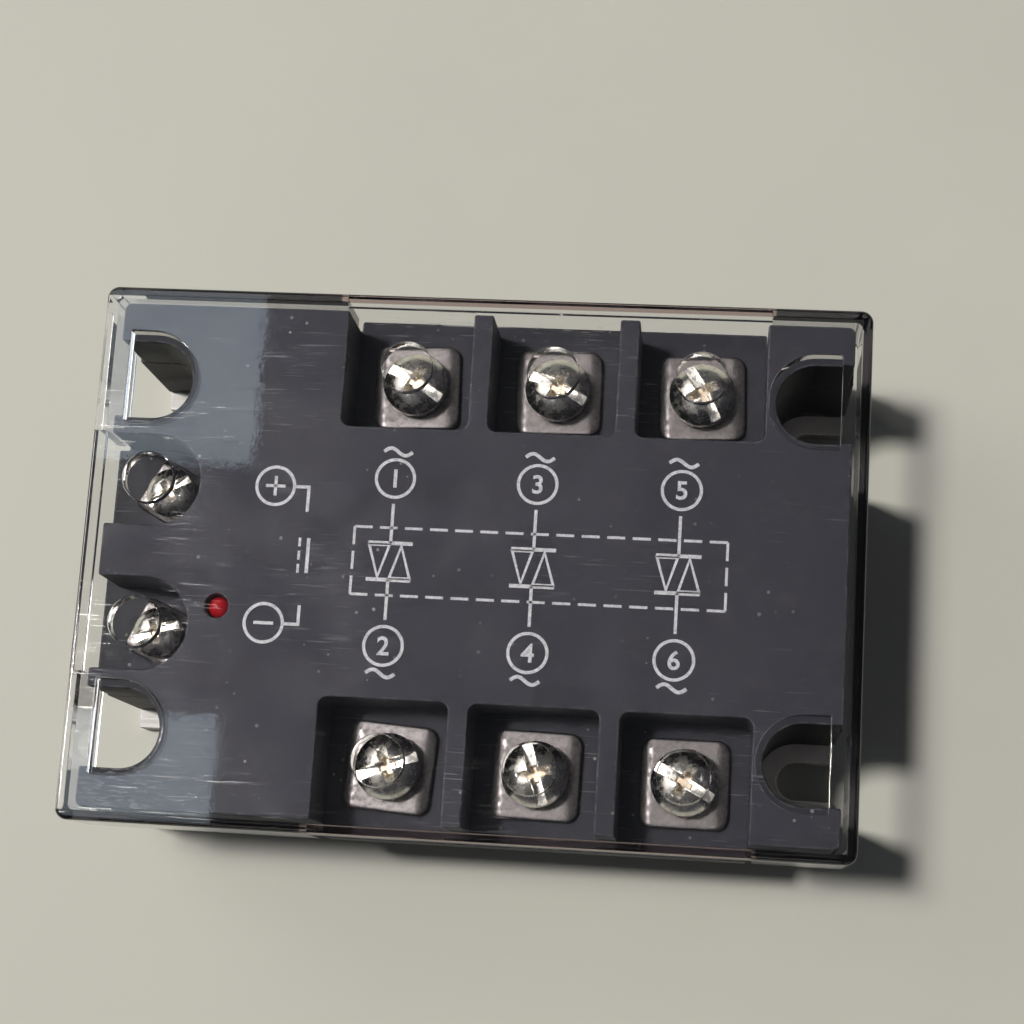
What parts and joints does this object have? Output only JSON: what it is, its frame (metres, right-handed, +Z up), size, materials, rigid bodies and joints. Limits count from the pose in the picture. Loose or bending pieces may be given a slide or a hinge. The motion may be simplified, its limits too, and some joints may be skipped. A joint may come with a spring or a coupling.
{
  "type": "solid state relay",
  "caption": "Panel-mounted three-pole solid state relay block with metal base plate, screw terminals on both long sides, control terminals at one end and a clear lift-off cover.",
  "frame": {"origin": "centre of the footprint of the closed part, at the underside of the base plate", "axes": "+X along the length, away from the control terminals; +Y across the width, towards the line terminals; +Z up, out of the base plate"},
  "size_m": [0.105, 0.0734, 0.033],
  "materials": {
    "aluminium": "satin, milled underside",
    "black_plastic": "moulded, fine satin texture",
    "clear_plastic": "clear, polished, lightly scratched",
    "nickel_plate": "nickel-plated pressing",
    "bright_nickel": "bright nickel plate",
    "zinc_steel": "zinc-plated",
    "brass": "tinned on the terminal face",
    "red_lens": "clear red resin",
    "board": "solder mask",
    "silicone_gel": "soft translucent fill",
    "white_plastic": "moulded",
    "ceramic_parts": "dipped",
    "blue_coating": "dipped coating",
    "white_ceramic": "metallised alumina",
    "silicon": "polished die"
  },
  "bodies": {
    "housing": {"base_plate": "aluminium", "lower_case": "black_plastic", "upper_housing": "black_plastic", "potting": "silicone_gel", "circuit_board": "board", "optocouplers": "white_plastic", "board_parts": "ceramic_parts", "snubbers": "blue_coating", "gate_pins": "brass", "indicator": "red_lens", "case_screws": "zinc_steel", "ceramic_1": "white_ceramic", "ceramic_2": "white_ceramic", "ceramic_3": "white_ceramic", "thyristors_1": "silicon", "thyristors_2": "silicon", "thyristors_3": "silicon", "line_1_nut": "zinc_steel", "line_2_nut": "zinc_steel", "line_3_nut": "zinc_steel", "load_1_nut": "zinc_steel", "load_2_nut": "zinc_steel", "load_3_nut": "zinc_steel", "plus_nut": "zinc_steel", "minus_nut": "zinc_steel", "line_1_strap": "brass", "line_2_strap": "brass", "line_3_strap": "brass", "load_1_strap": "brass", "load_2_strap": "brass", "load_3_strap": "brass", "plus_tab": "brass", "minus_tab": "brass"},
    "cover": {"clear_cover": "clear_plastic"},
    "line_1_clamp_body": {"line_1_clamp": "nickel_plate", "line_1_washer": "zinc_steel"},
    "line_1_screw_body": {"line_1_screw": "bright_nickel"},
    "line_2_clamp_body": {"line_2_clamp": "nickel_plate", "line_2_washer": "zinc_steel"},
    "line_2_screw_body": {"line_2_screw": "bright_nickel"},
    "line_3_clamp_body": {"line_3_clamp": "nickel_plate", "line_3_washer": "zinc_steel"},
    "line_3_screw_body": {"line_3_screw": "bright_nickel"},
    "load_1_clamp_body": {"load_1_clamp": "nickel_plate", "load_1_washer": "zinc_steel"},
    "load_1_screw_body": {"load_1_screw": "bright_nickel"},
    "load_2_clamp_body": {"load_2_clamp": "nickel_plate", "load_2_washer": "zinc_steel"},
    "load_2_screw_body": {"load_2_screw": "bright_nickel"},
    "load_3_clamp_body": {"load_3_clamp": "nickel_plate", "load_3_washer": "zinc_steel"},
    "load_3_screw_body": {"load_3_screw": "bright_nickel"},
    "plus_clamp_body": {"plus_clamp": "nickel_plate", "plus_washer": "zinc_steel"},
    "plus_screw_body": {"plus_screw": "bright_nickel"},
    "minus_clamp_body": {"minus_clamp": "nickel_plate", "minus_washer": "zinc_steel"},
    "minus_screw_body": {"minus_screw": "bright_nickel"}
  },
  "joints": [
    {"name": "cover_lift", "type": "slide", "parent": "housing", "child": "cover", "axis": [0, 0, 1], "range_m": [0, 0.02]},
    {"name": "line_1_rise", "type": "slide", "parent": "housing", "child": "line_1_clamp_body", "axis": [0, 0, 1], "range_m": [0, 0.0032]},
    {"name": "line_1_turn", "type": "hinge", "parent": "line_1_clamp_body", "child": "line_1_screw_body", "pos_m": [-0.01, 0.0267, 0.0222], "axis": [0, 0, 1], "range_deg": [0, 1441]},
    {"name": "line_2_rise", "type": "slide", "parent": "housing", "child": "line_2_clamp_body", "axis": [0, 0, 1], "range_m": [0, 0.0032]},
    {"name": "line_2_turn", "type": "hinge", "parent": "line_2_clamp_body", "child": "line_2_screw_body", "pos_m": [0.01, 0.0267, 0.0222], "axis": [0, 0, 1], "range_deg": [0, 1441]},
    {"name": "line_3_rise", "type": "slide", "parent": "housing", "child": "line_3_clamp_body", "axis": [0, 0, 1], "range_m": [0, 0.0032]},
    {"name": "line_3_turn", "type": "hinge", "parent": "line_3_clamp_body", "child": "line_3_screw_body", "pos_m": [0.03, 0.0267, 0.0222], "axis": [0, 0, 1], "range_deg": [0, 1441]},
    {"name": "load_1_rise", "type": "slide", "parent": "housing", "child": "load_1_clamp_body", "axis": [0, 0, 1], "range_m": [0, 0.0032]},
    {"name": "load_1_turn", "type": "hinge", "parent": "load_1_clamp_body", "child": "load_1_screw_body", "pos_m": [-0.01, -0.0267, 0.0222], "axis": [0, 0, 1], "range_deg": [0, 1441]},
    {"name": "load_2_rise", "type": "slide", "parent": "housing", "child": "load_2_clamp_body", "axis": [0, 0, 1], "range_m": [0, 0.0032]},
    {"name": "load_2_turn", "type": "hinge", "parent": "load_2_clamp_body", "child": "load_2_screw_body", "pos_m": [0.01, -0.0267, 0.0222], "axis": [0, 0, 1], "range_deg": [0, 1441]},
    {"name": "load_3_rise", "type": "slide", "parent": "housing", "child": "load_3_clamp_body", "axis": [0, 0, 1], "range_m": [0, 0.0032]},
    {"name": "load_3_turn", "type": "hinge", "parent": "load_3_clamp_body", "child": "load_3_screw_body", "pos_m": [0.03, -0.0267, 0.0222], "axis": [0, 0, 1], "range_deg": [0, 1441]},
    {"name": "plus_rise", "type": "slide", "parent": "housing", "child": "plus_clamp_body", "axis": [0, 0, 1], "range_m": [0, 0.0024]},
    {"name": "plus_turn", "type": "hinge", "parent": "plus_clamp_body", "child": "plus_screw_body", "pos_m": [-0.0437, 0.0099, 0.0216], "axis": [0, 0, 1], "range_deg": [0, 1441]},
    {"name": "minus_rise", "type": "slide", "parent": "housing", "child": "minus_clamp_body", "axis": [0, 0, 1], "range_m": [0, 0.0024]},
    {"name": "minus_turn", "type": "hinge", "parent": "minus_clamp_body", "child": "minus_screw_body", "pos_m": [-0.0437, -0.0099, 0.0216], "axis": [0, 0, 1], "range_deg": [0, 1441]}
  ],
  "couplings": [
    {"joint": "line_1_turn", "follows": "line_1_rise", "rad_per_m": 7854},
    {"joint": "line_2_turn", "follows": "line_2_rise", "rad_per_m": 7854},
    {"joint": "line_3_turn", "follows": "line_3_rise", "rad_per_m": 7854},
    {"joint": "load_1_turn", "follows": "load_1_rise", "rad_per_m": 7854},
    {"joint": "load_2_turn", "follows": "load_2_rise", "rad_per_m": 7854},
    {"joint": "load_3_turn", "follows": "load_3_rise", "rad_per_m": 7854},
    {"joint": "plus_turn", "follows": "plus_rise", "rad_per_m": 10472},
    {"joint": "minus_turn", "follows": "minus_rise", "rad_per_m": 10472}
  ]
}
